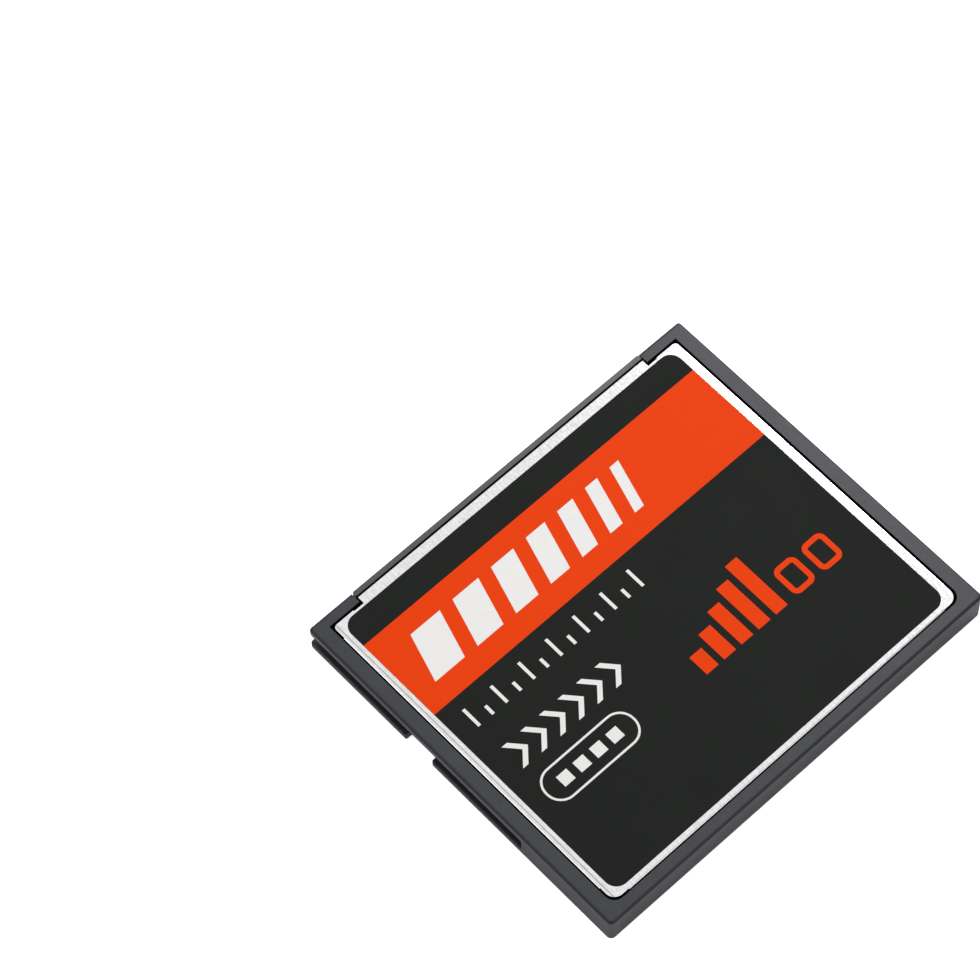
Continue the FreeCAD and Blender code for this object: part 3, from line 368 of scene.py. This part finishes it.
def ink(name, colour):
    """Print on a label, with the faint mottle of a screen print."""
    surface = Surface(name)
    mottle = surface.span(surface.noise(0.35 * MM), 0.0, 1.0)
    tooth = surface.noise(0.06 * MM)
    surface.set(
        Base_Color=surface.mix(mottle, shaded(colour, 0.985), shaded(colour, 1.015)),
        Roughness=surface.span(tooth, 0.46, 0.6),
        Specular_IOR_Level=0.08,
    )
    surface.bump(tooth, 0.001 * MM)
    return surface


def spectrum_ink():
    """One soft ramp of colour across all the fields of the back band."""
    surface = Surface("spectrum_ink")
    low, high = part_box("back_label")
    position = surface.span(surface.axis("X"), 0.0, 1.0, high.x, low.x)
    ramp = surface.node("ValToRGB", {"Fac": position})
    stops = ramp.color_ramp.elements
    stops.remove(stops[1])
    for index, (node, colour) in enumerate(SPECTRUM.items()):
        start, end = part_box(node)
        middle = (high.x - (start.x + end.x) / 2) / (high.x - low.x)
        stop = stops[0] if index == 0 else stops.new(middle)
        stop.position = middle
        stop.color = linear(*colour)
    mottle = surface.noise(0.4 * MM)
    faint = surface.span(mottle, 0.0, 0.05)
    surface.set(
        Base_Color=surface.mix(faint, ramp.outputs["Color"], WHITE),
        Roughness=surface.span(mottle, 0.44, 0.58),
        Specular_IOR_Level=0.2,
    )
    surface.bump(mottle, 0.001 * MM)
    return surface


def build_surfaces():
    """One surface for each of the record's material slots."""
    surfaces = {
        "frame_plastic": frame_plastic(),
        "cover_steel": cover_steel(),
        "insulating_film": insulating_film(),
        "housing_plastic": housing_plastic(),
        "gold_plating": gold_plating(),
        "board_laminate": board_laminate(),
        "chip_plastic": chip_plastic(),
        "tinned_metal": tinned_metal(),
        "capacitor_ceramic": capacitor_ceramic(),
        "resistor_glaze": resistor_glaze(),
        "front_label_film": label_film("front_label_film", linear(33, 35, 33)),
        "back_label_film": label_film("back_label_film", linear(240, 241, 243)),
        "orange_ink": ink("orange_ink", linear(240, 66, 3)),
        "white_ink": ink("white_ink", linear(243, 242, 240)),
        "light_ink": ink("light_ink", linear(240, 240, 238)),
        "grey_ink": ink("grey_ink", linear(120, 122, 126)),
        "dark_ink": ink("dark_ink", linear(44, 44, 48)),
    }
    spectrum = spectrum_ink()
    for entry in frame["record"]["subparts"]:
        if entry["node"] in SPECTRUM:
            surfaces[entry["material_slot"]] = spectrum
    return surfaces


def dress_nodes(surfaces):
    """Give each CAD node the surface of its slot."""
    for entry in frame["record"]["subparts"]:
        node = frame["nodes"][entry["node"]]
        material = surfaces[entry["material_slot"]].material
        if not node.data.materials:
            node.data.materials.append(material)
        for index in range(len(node.material_slots)):
            node.material_slots[index].material = material


def build_floor():
    """A wide white floor that keeps the card's soft shadow."""
    mesh = bpy.data.meshes.new("floor")
    half = FLOOR_SIZE / 2
    corners = [(-half, -half), (half, -half), (half, half), (-half, half)]
    mesh.from_pydata([(x, y, -FLOOR_DROP) for x, y in corners], [], [(0, 1, 2, 3)])
    floor = bpy.data.objects.new("floor", mesh)
    bpy.context.scene.collection.objects.link(floor)
    surface = Surface("floor_white")
    rays = surface.node("LightPath").outputs
    mirrored = surface.math("MAXIMUM", rays["Is Glossy Ray"], rays["Is Transmission Ray"])
    gleam = surface.math("MULTIPLY", mirrored, FLOOR_GLEAM)
    glow = surface.math("MULTIPLY", rays["Is Camera Ray"], FLOOR_GLOW)
    surface.set(
        Base_Color=(FLOOR_TONE, FLOOR_TONE, FLOOR_TONE, 1.0),
        Roughness=0.9,
        Specular_IOR_Level=0.0,
        Emission_Color=WHITE,
        Emission_Strength=surface.math("ADD", glow, gleam),
    )
    mesh.materials.append(surface.material)


def build_sky():
    """A dim even sky for the light. It looks white, and reflections show a wide softbox in it."""
    world = bpy.data.worlds.new("studio")
    bpy.context.scene.world = world
    graph = Graph(world)
    direction = graph.node("TexCoord").outputs["Generated"]
    values = {0: direction, 1: Vector(SOFTBOX).normalized()}
    toward = graph.node("VectorMath", values, operation="DOT_PRODUCT").outputs["Value"]
    reflected = graph.span(toward, REFLECTED_DARK, 1.0, *SOFTBOX_EDGE, interpolation_type="SMOOTHSTEP")
    rays = graph.node("LightPath").outputs
    mirrored = graph.math("MAXIMUM", rays["Is Glossy Ray"], rays["Is Transmission Ray"])
    level = graph.span(mirrored, SKY, reflected, 0.0, 1.0)
    background = graph.nodes["Background"]
    graph.put(background.inputs["Color"], WHITE)
    graph.put(background.inputs["Strength"], graph.math("MAXIMUM", level, rays["Is Camera Ray"]))


def build_lamps():
    """Large soft lamps that face the card, each with the power that gives its disk its brightness."""
    for name, (place, width, brightness) in LAMPS.items():
        light = bpy.data.lights.new(name, "AREA")
        light.shape = "DISK"
        light.size = width * MM
        light.energy = brightness * (math.pi * light.size / 2) ** 2
        lamp = bpy.data.objects.new(name, light)
        lamp.location = Vector(place) * MM
        lamp.rotation_euler = (-lamp.location).to_track_quat("-Z", "Y").to_euler()
        bpy.context.scene.collection.objects.link(lamp)


def build_camera():
    """The camera at the photograph's place, with its slight roll."""
    data = bpy.data.cameras.new("camera")
    data.sensor_width = SENSOR
    data.lens = LENS
    data.clip_start = CLIP_NEAR
    data.clip_end = CLIP_FAR
    camera = bpy.data.objects.new("camera", data)
    bpy.context.scene.collection.objects.link(camera)
    aim = (CAMERA_TARGET - CAMERA_PLACE).to_track_quat("-Z", "Y").to_matrix().to_4x4()
    roll = Matrix.Rotation(CAMERA_ROLL, 4, "Z")
    camera.matrix_world = Matrix.Translation(CAMERA_PLACE) @ aim @ roll
    bpy.context.scene.camera = camera


build_camera()
build_sky()
build_lamps()
build_floor()
dress_nodes(build_surfaces())
bpy.context.scene.view_settings.view_transform = "Standard"
